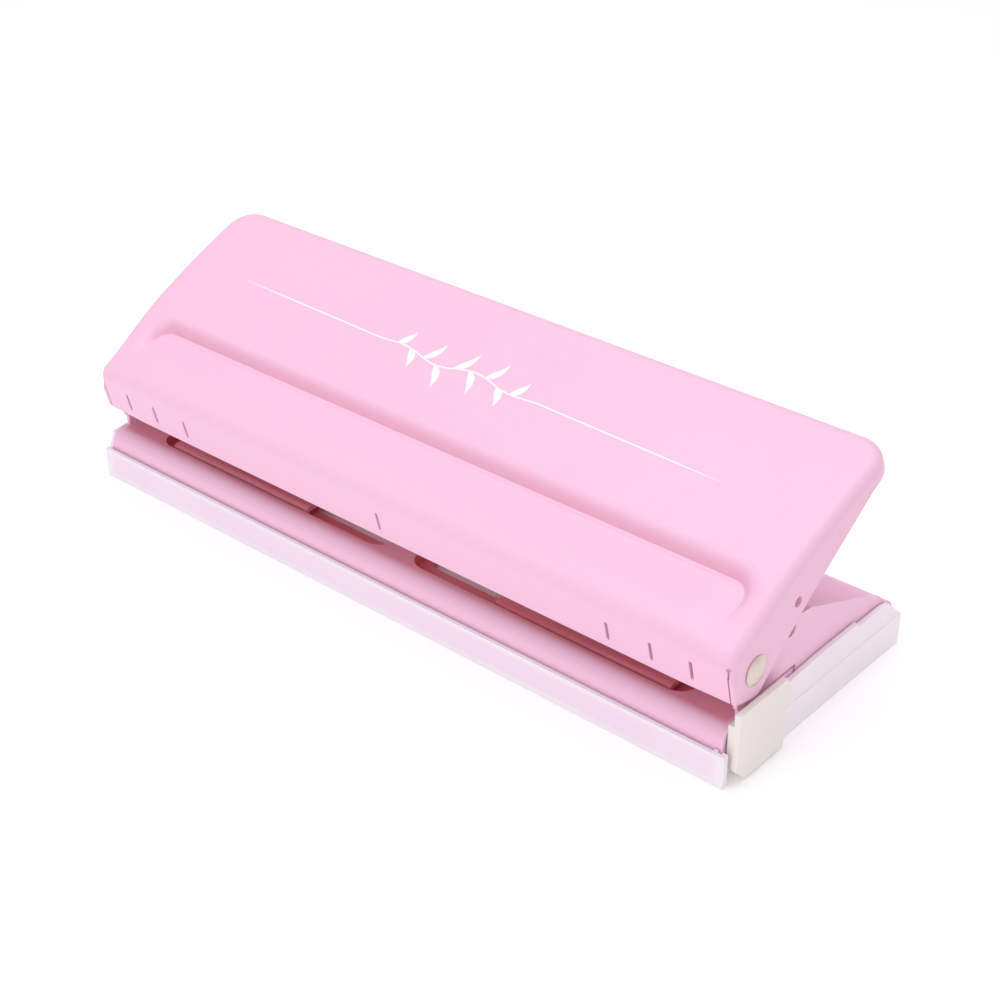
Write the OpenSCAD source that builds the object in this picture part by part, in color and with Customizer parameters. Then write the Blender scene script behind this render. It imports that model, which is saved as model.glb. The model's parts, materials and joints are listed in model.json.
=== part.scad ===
// Desktop hole punch with six fixed punches in two banks of three, a pull-out
// paper guide and a chip tray.  Millimetres.  +X runs along the punch to the
// right, +Y to the rear and +Z up.  The origin is on the underside of the chip
// tray, on the middle of its length.

/* [Handle] */
// Length of the handle over its end flanges
handle_length = 234.6; // [233.6:0.2:236]
// Depth of the handle's top plate, along its slope
handle_depth = 73.8; // [70:0.2:78]
// Slope of the top plate at rest, in degrees
handle_slope = 23.9; // [21:0.1:25]
// Thickness of the handle's sheet
handle_sheet = 1.2; // [0.8:0.1:1.4]
// Radius of the handle's rear corners
handle_corner = 9; // [4:0.5:14]
// Height of the rear flange
rear_flange = 5.2; // [4:0.2:7]
// Depth of the embossed groove in the top plate
groove_depth = 1.6; // [0.5:0.1:2]
// Full press of the handle, in degrees
press_angle = 18; // [14:1:18]

/* [Base] */
// Length of the base plate over its ears
base_length = 231; // [230:0.2:231.2]
// Height of the deck that the paper slides on
deck_height = 15.6; // [15:0.1:16]
// Distance from the origin to the front of the base plate
base_front = 40.3; // [39.5:0.1:40.4]
// Distance from the origin to the rear of the base plate
base_rear = 39; // [38:0.1:39.2]
// Outer radius of the rolled front and rear edges
roll_radius = 5; // [4:0.2:6]
// Thickness of the base plate's sheet
base_sheet = 1.2; // [1:0.1:1.3]

/* [Punches] */
// Diameter of a punch
punch_dia = 5.5; // [5:0.1:6]
// Distance between neighbouring punches of one bank
punch_pitch = 19; // [18:0.5:20]
// Distance from the middle of the punch to the middle of a bank
bank_centre = 65; // [64:0.5:66]
// Distance of the punch line ahead of the origin
punch_line = 12; // [11:0.2:13]

/* [Chip tray] */
// Length of the tray's upper walls
tray_length = 234.4; // [233.4:0.2:234.8]
// Distance from the origin to the front of the tray
tray_front = 42; // [42:0.1:42.6]
// Distance from the origin to the rear of the tray
tray_rear = 41; // [40.8:0.1:41.6]
// Height of the tray's front wall
tray_lip = 9.5; // [8:0.5:10]
// Height of the tray's end walls
tray_end_height = 17.8; // [16.6:0.1:18]

/* [Paper guide] */
// Width of the guide strip, front to rear
strip_width = 7; // [6:0.2:7]
// Thickness of the guide strip
strip_thick = 1.8; // [1.4:0.1:1.8]
// Length of the guide strip's part inside the punch, left of the origin
strip_reach = 108; // [104:1:110]

/* [Hidden] */
$fn = 64;

// Colours
pink = [0.97, 0.76, 0.87];
milky = [0.94, 0.89, 0.94];
cream = [0.90, 0.86, 0.82];
steel = [0.72, 0.73, 0.75];
nickel = [0.82, 0.78, 0.74];

// Clearances: between sheets that slide, round a running pin, round a pressed pin
gap = 0.3;
running = 0.06;
pressed = 0.02;
// How far a cutting solid runs past what it cuts
over = 1;

// Pivot of the handle, as [y, z]
pivot = [-31, 30];
pivot_dia = 5;
pivot_head_dia = 8.3;
pivot_head_height = 1.3;
washer_dia = 9.5;
washer_thick = 0.5;

// Handle frame: local Y runs up the slope from the front fold, local Z is outward
handle_half = handle_length / 2;
fold = [-42.75, 38.7];
// Outline of an end flange in the handle frame, from the front fold round below
flange_outline = [
    [0, 0], [-2.7, -15.6], [-0.6, -18], [6.3, -21], [14.2, -18], [29.3, -13.2], [40.2, -10.5],
    [63.7, -rear_flange], [handle_depth, -rear_flange], [handle_depth, 0]
];
front_flange_depth = 15.6;
groove_half = 108;
groove_front = 11;
groove_rear = 20.8;
// Locating hole in each end flange, in the handle frame, and in each ear
flange_hole = [27.2, -9.1];
flange_hole_dia = 3;
ear_hole = [-12.9, 31.4];
ear_hole_dia = 4;

// Ears, bent up from the deck's ends
base_half = base_length / 2;
deck_under = deck_height - base_sheet;
ear_inner = base_half - base_sheet;
ear_root = -9.2;
slit_bottom = 18.5;
slit_top = 19.4;
// Width of the notch that the slit ends in
notch_width = 1.2;
// Outline of an ear's arm and cheek, as [y, z]
ear_outline = [
    [33, deck_under], [36.5, deck_under], [34.5, deck_height], [31.5, 18.8], [25, 22.4],
    [-4.2, 33.8], [-28, 36.3], [-32.5, 36.3], [-36, 31], [-35, slit_top], [ear_root, slit_top],
    [ear_root, deck_under]
];

// Long sunken pockets of the deck, and the viewing slots in their floors
pocket_in = 4.5;
pocket_out = 100;
pocket_front = -34.8;
pocket_rear = -3;
pocket_depth = 3.5;
pocket_radius = 6;
pocket_floor = deck_height - pocket_depth;
slot_in = 7.8;
slot_out = 38;
slot_front = -28.3;
slot_rear = -22;
slot_radius = 2;

// Punch mechanism
punch_xs = [for (side = [-1, 1]) for (i = [-1, 0, 1]) side * bank_centre + i * punch_pitch];
punch_y = -punch_line;
guide_dia = punch_dia + 2 * running;
chip_hole_dia = punch_dia + 1.5;
arm_offset = punch_y - pivot[0];
half_press = press_angle / 2;
bar_lift = 10;
// Height of the press bar's face over the punch line at rest
bar_face = pivot[1] + arm_offset * tan(half_press) + bar_lift / cos(half_press);
dome_radius = 6;
punch_top = bar_face - (dome_radius + gap) / cos(half_press) + dome_radius;

// Stripper plate over the deck, with a turned-up front lip
stripper_in = 34.5;
stripper_out = 96;
stripper_sheet = 1;
stripper_bottom = 16.8;
stripper_top = stripper_bottom + stripper_sheet;
lip_front = -25;
lip_back = -21;
lip_rise = 2;
// How far a bend's upper corner lies behind its lower one
bend_shift = 0.4;
joggle_front = -3.5;
joggle_back = -2;
foot_rear = 9;
punch_tip = stripper_bottom + 0.4;

// Punch bracket: foot, rear wall and top arm
bracket_in = 36;
bracket_out = 94;
bracket_sheet = 1.2;
bracket_wall = -0.5;
bracket_front = -19;
foot_bottom = deck_height + stripper_sheet;
arm_bottom = 29.3;
arm_top = arm_bottom + bracket_sheet;

// Die channel that stands in a pocket, level with the deck
die_in = 36.2;
die_out = 94.4;
die_front = -33.4;
die_rear = -4.4;
die_thick = 1.5;
die_under = deck_height - die_thick;

// Rivets through deck, stripper and bracket
rivet_xs = [45, 65, 85];
rivet_y = 4.5;
rivet_dia = 3.2;
rivet_head_dia = 6;
rivet_head_height = 1.2;

// Retaining clip and return spring on each punch
clip_dia = 9;
clip_thick = 0.7;
clip_bottom = arm_bottom - 0.9;
groove_dia = punch_dia - 1.2;
spring_dia = 8.4;
spring_wire = 0.7;
spring_bottom = stripper_top + 0.1;
spring_top = clip_bottom - 0.1;

// Chip tray
tray_half = tray_length / 2;
skirt_half = tray_half + 0.2;
tray_inner = base_half + gap;
tray_wall = 1.2;
tray_floor = 1.4;
// Top line of an end wall, from front to rear, as [y, z]
end_wall_outline = [
    [-tray_front, 0], [-tray_front, tray_lip], [-40.4, tray_lip], [-38.5, 14.4], [-30, 15.4],
    [-18.3, 16.7], [-13, 17.2], [0, tray_end_height], [18, tray_end_height], [18.8, 16.6],
    [31, 16.6], [34, 15.8], [tray_rear, tray_lip], [tray_rear, 0]
];
// Recess in the right end of the tray that the guide's end block stands in
bay_front = -39.7;
bay_rear = -18.3;
bay_wall = 114.8;
bay_height = 10.2;

// Paper guide
strip_centre = -24.6;
strip_top = pocket_floor - base_sheet - gap;
strip_bottom = strip_top - strip_thick;
strip_front = strip_centre - strip_width / 2;
strip_rear = strip_centre + strip_width / 2;
strip_end = base_half + 2.3;
block_inner = base_half + 0.4;
block_slab = base_half + 2.3;
block_outer = base_half + 4;
block_front = -39.3;
block_rear = -18.6;
block_bottom = 0.6;
block_top = 21.6;
neck_top = 17.5;
strap_xs = [-60, 45, 88];
strap_width = 8;
strap_sheet = 1.1;

// A YZ outline run along X from x0 to x1
module along_x(x0, x1) {
    translate([x0, 0, 0]) rotate([90, 0, 90]) linear_extrude(x1 - x0) children();
}

// A cylinder along X, centred on [y, z]
module rod_x(at, dia, x0, x1) {
    translate([x0, at[0], at[1]]) rotate([0, 90, 0]) cylinder(d = dia, h = x1 - x0);
}

// The same thing on the left and the right
module both_ends() {
    children();
    mirror([1, 0, 0]) children();
}

// A plan box with rounded corners, given by two corners
module rounded_box(lo, hi, r, z0, z1) {
    translate([0, 0, z0]) linear_extrude(z1 - z0) {
        translate([lo[0] + r, lo[1]]) square([hi[0] - lo[0] - 2 * r, hi[1] - lo[1]]);
        translate([lo[0], lo[1] + r]) square([hi[0] - lo[0], hi[1] - lo[1] - 2 * r]);
        for (x = [lo[0] + r, hi[0] - r])
            for (y = [lo[1] + r, hi[1] - r])
                translate([x, y]) circle(r);
    }
}

// Solid section of the base, shrunk all round by inset
module base_section(inset) {
    front = -base_front + roll_radius;
    rear = base_rear - roll_radius;
    centre = deck_height - roll_radius;
    skirt = 6;
    translate([front, skirt - inset]) square([rear - front, deck_height - skirt]);
    for (y = [front, rear]) translate([y, centre]) circle(roll_radius - inset);
    translate([-base_front + inset, skirt - inset])
        square([base_front + base_rear - 2 * inset, centre - skirt + inset]);
}

// One sunken pocket of the deck, grown by wall, between two heights
module pocket(wall, z0, z1) {
    rounded_box([pocket_in - wall, pocket_front - wall], [pocket_out + wall, pocket_rear + wall],
        pocket_radius + wall, z0, z1);
}

// One ear: cheek and arm over the slit, with the low upstand under it
module ear() {
    upstand_rear = ear_root - notch_width;
    difference() {
        union() {
            along_x(ear_inner, base_half) polygon(ear_outline);
            along_x(ear_inner, base_half)
                polygon([[-34, deck_under], [-34, slit_bottom], [upstand_rear, slit_bottom],
                    [upstand_rear, deck_under]]);
        }
        rod_x(pivot, pivot_dia + 2 * pressed, ear_inner - over, base_half + over);
        rod_x(ear_hole, ear_hole_dia, ear_inner - over, base_half + over);
    }
}

module base_plate() {
    color(pink) difference() {
        union() {
            difference() {
                along_x(-base_half, base_half) difference() {
                    base_section(0);
                    base_section(base_sheet);
                }
                both_ends() pocket(0, deck_under - over, deck_height + over);
            }
            both_ends() difference() {
                pocket(base_sheet, pocket_floor - base_sheet, deck_height);
                pocket(0, pocket_floor, deck_height + over);
            }
            both_ends() ear();
        }
        both_ends() rounded_box([slot_in, slot_front], [slot_out, slot_rear], slot_radius,
            pocket_floor - base_sheet - over, pocket_floor + over);
        for (x = punch_xs)
            translate([x, punch_y, pocket_floor - base_sheet - over])
                cylinder(d = chip_hole_dia, h = base_sheet + 2 * over);
        rivet_holes(deck_under, deck_height);
    }
}

// Holes for the bracket rivets between two heights
module rivet_holes(z0, z1) {
    both_ends() for (x = rivet_xs)
        translate([x, rivet_y, z0 - over]) cylinder(d = rivet_dia + 2 * pressed, h = z1 - z0 + 2 * over);
}

// Holes that guide the punches between two heights
module guide_holes(z0, z1) {
    for (x = punch_xs)
        translate([x, punch_y, z0 - over]) cylinder(d = guide_dia, h = z1 - z0 + 2 * over);
}

// One stripper plate: lead-in lip, plate over the paper gap, joggle that stops the paper, foot
module stripper() {
    color(pink) difference() {
        along_x(stripper_in, stripper_out)
            polygon([[lip_front, stripper_bottom + lip_rise], [lip_back, stripper_bottom],
                [joggle_front, stripper_bottom], [joggle_back, deck_height], [foot_rear, deck_height],
                [foot_rear, foot_bottom], [joggle_back + bend_shift, foot_bottom],
                [joggle_front + bend_shift, stripper_top], [lip_back + bend_shift / 2, stripper_top],
                [lip_front + bend_shift, stripper_top + lip_rise]]);
        guide_holes(stripper_bottom, stripper_top);
        rivet_holes(deck_height, foot_bottom);
    }
}

// One punch bracket: foot on the stripper, rear wall, top arm that guides the punches
module bracket() {
    foot_top = foot_bottom + bracket_sheet;
    color(pink) difference() {
        along_x(bracket_in, bracket_out)
            polygon([[bracket_wall, foot_bottom], [foot_rear, foot_bottom], [foot_rear, foot_top],
                [bracket_wall + bracket_sheet, foot_top], [bracket_wall + bracket_sheet, arm_top],
                [bracket_front, arm_top], [bracket_front, arm_bottom], [bracket_wall, arm_bottom]]);
        guide_holes(arm_bottom, arm_top);
        rivet_holes(foot_bottom, foot_top);
    }
}

// Section of a die channel's outside, shrunk by inset, down to the pocket's floor
module die_section(inset) {
    fold_radius = 1.7;
    corner = fold_radius - inset;
    for (y = [die_front + fold_radius, die_rear - fold_radius])
        translate([y, deck_height - fold_radius]) circle(corner);
    translate([die_front + fold_radius, pocket_floor - inset])
        square([die_rear - die_front - 2 * fold_radius, pocket_depth]);
    translate([die_front + inset, pocket_floor - inset])
        square([die_rear - die_front - 2 * inset, pocket_depth - fold_radius + inset]);
}

module die_plate() {
    color(pink) difference() {
        along_x(die_in, die_out) difference() {
            die_section(0);
            die_section(die_thick);
        }
        guide_holes(die_under, deck_height);
    }
}

module bracket_rivets() {
    grip_top = foot_bottom + bracket_sheet;
    color(steel) both_ends() for (x = rivet_xs) translate([x, rivet_y, 0]) {
        translate([0, 0, deck_under]) cylinder(d = rivet_dia, h = grip_top - deck_under);
        translate([0, 0, deck_under - rivet_head_height]) cylinder(d = rivet_head_dia - 1, h = rivet_head_height);
        translate([0, 0, grip_top]) cylinder(d = rivet_head_dia, h = rivet_head_height);
    }
}

// Domed rivet that the handle turns on, at the right end
module pivot_rivet() {
    tail = ear_inner - 1.2;
    head_face = handle_half + 0.1;
    head_end = head_face + pivot_head_height;
    cap_radius = 9;
    color(nickel) translate([0, pivot[0], pivot[1]]) rotate([0, 90, 0]) rotate_extrude() {
        translate([0, tail]) square([pivot_dia / 2, head_face - tail]);
        translate([0, tail]) square([3.7, ear_inner - 0.02 - tail]);
        intersection() {
            translate([0, head_face]) square([pivot_head_dia / 2, pivot_head_height]);
            translate([0, head_end - cap_radius]) circle(cap_radius);
        }
    }
}

module pivot_washer() {
    face = base_half + 0.03;
    color(steel) difference() {
        rod_x(pivot, washer_dia, face, face + washer_thick);
        rod_x(pivot, pivot_dia + 0.2, face - over, face + washer_thick + over);
    }
}

// Solid of the handle inside its flanges and rounded rear corners, shrunk by inset
module handle_solid(inset) {
    low = -40;
    half = handle_half - inset;
    corner = handle_corner - inset;
    rear = handle_depth - inset;
    slant = flange_outline[1][0] / front_flange_depth;
    intersection() {
        along_x(-half, half)
            polygon([[slant * inset + inset, -inset], [inset - slant * low, low], [rear, low], [rear, -inset]]);
        translate([0, 0, low]) linear_extrude(-low) {
            translate([-half, -10]) square([2 * half, rear + 10 - corner]);
            translate([corner - half, -10]) square([2 * (half - corner), rear + 10]);
            for (side = [-1, 1]) translate([side * (half - corner), rear - corner]) circle(corner);
        }
    }
}

// The handle in its own frame: flanges, top plate and groove
module handle_body() {
    groove_run = groove_rear - groove_front;
    difference() {
        union() {
            difference() {
                intersection() {
                    handle_solid(0);
                    along_x(-handle_half - over, handle_half + over) polygon(flange_outline);
                }
                handle_solid(handle_sheet);
            }
            along_x(-groove_half - handle_sheet, groove_half + handle_sheet)
                polygon([[groove_front, -handle_sheet / 2], [groove_rear - 1, -handle_sheet - groove_depth],
                    [groove_rear + handle_sheet, -handle_sheet - groove_depth],
                    [groove_rear + handle_sheet, -handle_sheet / 2]]);
        }
        along_x(-groove_half, groove_half)
            polygon([[groove_front, 0], [groove_rear - 1, -groove_depth], [groove_rear, -groove_depth],
                [groove_rear, over], [groove_front, over]]);
        for (side = [-1, 1])
            rod_x(flange_hole, flange_hole_dia, side * handle_half - 2, side * handle_half + 2);
    }
}

module handle_shell() {
    color(pink) difference() {
        translate([0, fold[0], fold[1]]) rotate([handle_slope, 0, 0]) handle_body();
        for (side = [-1, 1])
            rod_x(pivot, pivot_dia + 2 * running, side * handle_half - 3, side * handle_half + 3);
    }
}

// Height of the top plate's inner face at a given y
function plate_inside(y) =
    fold[1] + (y - fold[0]) * tan(handle_slope) - (handle_sheet + 0.02) / cos(handle_slope);

// Channel under the top plate whose sloping face pushes all six punches down
module press_bar() {
    half = 94;
    reach = 6;
    sheet = 1.2;
    front = punch_y - reach;
    rear = punch_y + reach;
    rise = reach * tan(half_press);
    color(steel) difference() {
        along_x(-half, half)
            polygon([[front, bar_face - rise], [rear, bar_face + rise],
                [rear, plate_inside(rear)], [front, plate_inside(front)]]);
        along_x(-half - over, half + over)
            polygon([[front + sheet, bar_face - rise + 1.5 * sheet], [rear - sheet, bar_face + rise + sheet],
                [rear - sheet, plate_inside(rear) + over], [front + sheet, plate_inside(front) + over]]);
    }
}

// A punch: domed top, groove for its clip, notched cutting end
module punch(i) {
    notch = 1.6;
    color(steel) translate([punch_xs[i], punch_y, 0]) difference() {
        intersection() {
            translate([0, 0, punch_tip]) cylinder(d = punch_dia, h = punch_top - punch_tip);
            union() {
                translate([0, 0, punch_top - dome_radius]) sphere(dome_radius);
                translate([0, 0, punch_tip]) cylinder(r = dome_radius, h = punch_top - dome_radius - punch_tip);
            }
        }
        translate([0, 0, clip_bottom - 0.02]) difference() {
            cylinder(d = punch_dia + over, h = clip_thick + 0.04);
            translate([0, 0, -over]) cylinder(d = groove_dia, h = clip_thick + 2 * over);
        }
        translate([0, -punch_dia, punch_tip]) rotate([-90, 0, 0]) linear_extrude(2 * punch_dia)
            polygon([[-punch_dia / 2, over], [-punch_dia / 2, 0], [0, -notch], [punch_dia / 2, 0],
                [punch_dia / 2, over]]);
    }
}

// Open ring clipped into a punch's groove
module clip(i) {
    mouth = groove_dia - 0.6;
    color(steel) translate([punch_xs[i], punch_y, clip_bottom]) difference() {
        cylinder(d = clip_dia, h = clip_thick);
        translate([0, 0, -over]) cylinder(d = groove_dia + 2 * pressed, h = clip_thick + 2 * over);
        translate([-mouth / 2, 0, -over]) cube([mouth, clip_dia, clip_thick + 2 * over]);
    }
}

// Envelope of a return spring's coils
module return_spring(i) {
    color(steel) translate([punch_xs[i], punch_y, spring_bottom]) difference() {
        cylinder(d = spring_dia, h = spring_top - spring_bottom);
        translate([0, 0, -over])
            cylinder(d = spring_dia - 2 * spring_wire, h = spring_top - spring_bottom + 2 * over);
    }
}

module chip_tray() {
    color(milky) difference() {
        union() {
            // outer walls
            difference() {
                intersection() {
                    union() {
                        translate([-skirt_half, -tray_front, 0])
                            cube([2 * skirt_half, tray_front + tray_rear, tray_lip]);
                        translate([-tray_half, -tray_front, 0])
                            cube([2 * tray_half, tray_front + tray_rear, tray_end_height]);
                    }
                    along_x(-skirt_half - over, skirt_half + over) polygon(end_wall_outline);
                }
                translate([-tray_inner, tray_wall - tray_front, tray_floor])
                    cube([2 * tray_inner, tray_front + tray_rear - 2 * tray_wall, tray_end_height]);
                // bay for the guide's end block
                translate([bay_wall - tray_wall, bay_front - tray_wall / 2, tray_floor])
                    cube([10, bay_rear - bay_front + tray_wall, 3 * tray_lip]);
            }
            // walls of the bay
            translate([bay_wall - tray_wall, bay_front - tray_wall, 0])
                cube([tray_wall, bay_rear - bay_front + 2 * tray_wall, bay_height]);
            translate([bay_wall - tray_wall, bay_rear, 0])
                cube([tray_half - bay_wall + tray_wall, tray_wall, 13.8]);
        }
        // the bay itself, open at the end and at the top and bottom
        translate([bay_wall, bay_front, -over]) cube([10, bay_rear - bay_front, 3 * tray_lip]);
        // notch that the guide strip passes through
        translate([bay_wall - 2 * tray_wall, strip_front - gap, strip_bottom - gap])
            cube([3 * tray_wall, strip_width + 2 * gap, tray_lip]);
        // clearance round the base plate's front roll
        translate([bay_wall - 2 * tray_wall, -tray_front + tray_wall, 5.7])
            cube([base_half - bay_wall + 2 * tray_wall + gap, 3.2, tray_lip]);
    }
}

module guide_strip() {
    color(cream) translate([-strip_reach, strip_front, strip_bottom])
        cube([strip_reach + strip_end, strip_width, strip_thick]);
}

module guide_end() {
    chamfer = 4;
    color(cream) difference() {
        union() {
            along_x(block_slab, block_outer)
                polygon([[block_front, block_bottom + chamfer], [block_front, block_top],
                    [block_rear, block_top], [block_rear, block_bottom],
                    [block_front + chamfer, block_bottom]]);
            along_x(block_inner, block_slab)
                polygon([[block_front + 0.4, block_bottom + chamfer], [block_front + 0.4, neck_top],
                    [block_rear, neck_top], [block_rear, block_bottom],
                    [block_front + chamfer, block_bottom]]);
        }
        translate([block_inner - over, strip_front - pressed, strip_bottom - pressed])
            cube([strip_end - block_inner + over, strip_width + 2 * pressed, strip_thick + 2 * pressed]);
    }
}

// Strap under a pocket's floor that carries the guide strip
module guide_strap(i) {
    front = strip_front - gap - strap_sheet;
    rear = strip_rear + gap + strap_sheet;
    bottom = strip_bottom - gap - strap_sheet;
    top = pocket_floor - base_sheet;
    color(steel) along_x(strap_xs[i] - strap_width / 2, strap_xs[i] + strap_width / 2)
        polygon([[front, bottom], [rear, bottom], [rear, top], [rear - strap_sheet, top],
            [rear - strap_sheet, bottom + strap_sheet], [front + strap_sheet, bottom + strap_sheet],
            [front + strap_sheet, top], [front, top]]);
}

base_plate();
chip_tray();
handle_shell();
press_bar();
mirror([1, 0, 0]) stripper();  // left_stripper
stripper();  // right_stripper
mirror([1, 0, 0]) bracket();  // left_bracket
bracket();  // right_bracket
mirror([1, 0, 0]) die_plate();  // left_die_plate
die_plate();  // right_die_plate
bracket_rivets();
mirror([1, 0, 0]) pivot_rivet();  // left_pivot_rivet
pivot_rivet();  // right_pivot_rivet
mirror([1, 0, 0]) pivot_washer();  // left_pivot_washer
pivot_washer();  // right_pivot_washer
guide_strip();
guide_end();
guide_strap(0);  // guide_strap_1
guide_strap(1);  // guide_strap_2
guide_strap(2);  // guide_strap_3
punch(0);  // punch_1
punch(1);  // punch_2
punch(2);  // punch_3
punch(3);  // punch_4
punch(4);  // punch_5
punch(5);  // punch_6
clip(0);  // clip_1
clip(1);  // clip_2
clip(2);  // clip_3
clip(3);  // clip_4
clip(4);  // clip_5
clip(5);  // clip_6
return_spring(0);  // return_spring_1
return_spring(1);  // return_spring_2
return_spring(2);  // return_spring_3
return_spring(3);  // return_spring_4
return_spring(4);  // return_spring_5
return_spring(5);  // return_spring_6
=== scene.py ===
"""A pink six-hole desk punch: materials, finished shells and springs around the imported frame.

Lengths are in millimetres, and MM turns them into metres; the studio's are in metres. The handle's own
frame has x along the punch, s up the slope of the top plate from its front fold, and n out of the plate.
"""
import json
import math

import bmesh
import bpy
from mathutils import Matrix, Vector

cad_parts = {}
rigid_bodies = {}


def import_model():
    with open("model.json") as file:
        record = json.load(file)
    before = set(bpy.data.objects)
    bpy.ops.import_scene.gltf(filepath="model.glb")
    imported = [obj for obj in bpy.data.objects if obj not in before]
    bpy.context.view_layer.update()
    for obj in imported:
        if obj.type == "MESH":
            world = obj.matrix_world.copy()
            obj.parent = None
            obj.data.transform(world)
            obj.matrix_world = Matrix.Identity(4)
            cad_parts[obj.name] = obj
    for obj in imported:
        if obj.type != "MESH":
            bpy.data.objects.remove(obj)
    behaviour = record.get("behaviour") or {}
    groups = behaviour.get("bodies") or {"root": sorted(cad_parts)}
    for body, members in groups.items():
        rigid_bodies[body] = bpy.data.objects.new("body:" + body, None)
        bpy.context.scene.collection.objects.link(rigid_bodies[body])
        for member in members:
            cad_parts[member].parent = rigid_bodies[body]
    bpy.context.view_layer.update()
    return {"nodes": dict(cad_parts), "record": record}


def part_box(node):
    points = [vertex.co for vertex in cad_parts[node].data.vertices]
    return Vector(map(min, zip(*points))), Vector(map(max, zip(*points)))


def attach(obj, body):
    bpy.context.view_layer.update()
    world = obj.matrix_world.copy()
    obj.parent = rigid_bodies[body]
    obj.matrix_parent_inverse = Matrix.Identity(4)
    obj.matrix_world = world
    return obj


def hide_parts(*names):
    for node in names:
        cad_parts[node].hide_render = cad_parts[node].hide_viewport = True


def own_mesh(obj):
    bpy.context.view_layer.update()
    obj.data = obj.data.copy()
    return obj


MM = 0.001
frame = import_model()
NODES = frame["nodes"]


# ---------------------------------------------------------------- camera and light

CAMERA_AZIMUTH = math.radians(40.875)
CAMERA_ELEVATION = math.radians(31.039)
CAMERA_PLACE = Vector((312.43, -350.51, 300.17)) * MM
CAMERA_LENS = 68.11
CAMERA_SENSOR = 36.0
CAMERA_NEAR = 0.01
ROOM_COLOUR = (1.0, 0.935, 0.935, 1.0)
ROOM_STRENGTH = 0.64
COOL_WHITE = (0.96, 1.0, 1.09)
# Name, place, target, (width, depth), all in metres, and power in watts
AREA_LIGHTS = [
    ("overhead", (-0.05, 0.06, 1.10), (0.0, 0.0, 0.0), (1.0, 0.8), 5.6),
    ("front_fill", (0.10, -1.10, 0.55), (0.0, 0.0, 0.03), (1.0, 0.6), 2.3),
]
FLOOR_HALF = 3.0
FLOOR_LEVEL = -0.0001
FLOOR_COLOUR = (0.95, 0.95, 0.95, 1.0)
FLOOR_GLOW = 0.15


def add_camera():
    """A long lens, from the front right and above."""
    data = bpy.data.cameras.new("camera")
    data.lens = CAMERA_LENS
    data.sensor_width = CAMERA_SENSOR
    data.clip_start = CAMERA_NEAR
    camera = bpy.data.objects.new("camera", data)
    bpy.context.collection.objects.link(camera)
    back = Vector((math.sin(CAMERA_AZIMUTH) * math.cos(CAMERA_ELEVATION),
                   -math.cos(CAMERA_AZIMUTH) * math.cos(CAMERA_ELEVATION),
                   math.sin(CAMERA_ELEVATION)))
    camera.location = CAMERA_PLACE
    camera.rotation_euler = (-back).to_track_quat("-Z", "Y").to_euler()
    bpy.context.scene.camera = camera


def add_area_light(name, place, target, size, power):
    data = bpy.data.lights.new(name, "AREA")
    data.shape = "RECTANGLE"
    data.size, data.size_y = size
    data.energy = power
    data.color = COOL_WHITE
    light = bpy.data.objects.new(name, data)
    bpy.context.collection.objects.link(light)
    light.location = place
    light.rotation_euler = (Vector(target) - Vector(place)).to_track_quat("-Z", "Y").to_euler()


def add_studio():
    """A white room: soft light from all round, one large light above and one fill in front."""
    world = bpy.data.worlds.new("studio")
    world.use_nodes = True
    background = world.node_tree.nodes["Background"]
    background.inputs["Color"].default_value = ROOM_COLOUR
    background.inputs["Strength"].default_value = ROOM_STRENGTH
    bpy.context.scene.world = world
    for light in AREA_LIGHTS:
        add_area_light(*light)
    bpy.context.scene.view_settings.view_transform = "Standard"


def add_floor():
    """White paper that glows a little, so that it stays white around the punch."""
    half = FLOOR_HALF
    mesh = bpy.data.meshes.new("floor")
    mesh.from_pydata([(-half, -half, 0), (half, -half, 0), (half, half, 0), (-half, half, 0)], [],
                     [(0, 1, 2, 3)])
    floor = bpy.data.objects.new("floor", mesh)
    bpy.context.collection.objects.link(floor)
    floor.location.z = FLOOR_LEVEL
    material = bpy.data.materials.new("floor_paper")
    material.use_nodes = True
    shader = material.node_tree.nodes["Principled BSDF"]
    shader.inputs["Base Color"].default_value = FLOOR_COLOUR
    shader.inputs["Emission Color"].default_value = (1.0, 1.0, 1.0, 1.0)
    shader.inputs["Emission Strength"].default_value = FLOOR_GLOW
    shader.inputs["Roughness"].default_value = 0.9
    shader.inputs["Specular IOR Level"].default_value = 0.1
    mesh.materials.append(material)


# ---------------------------------------------------------------- materials

# Sockets of the Mix node when it mixes colours
MIX_FACTOR, MIX_UNDER, MIX_OVER, MIX_RESULT = 0, 6, 7, 2
# Nearly all values of a noise texture lie between these
NOISE_LOW, NOISE_HIGH = 0.3, 0.7
# How noise is drawn out into lines
ALONG_X = (0.05, 1.0, 1.0)
FAR_ALONG_X = (0.02, 1.0, 1.0)
ALONG_Z = (1.0, 1.0, 0.05)
EVEN = (1.0, 1.0, 1.0)


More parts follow.
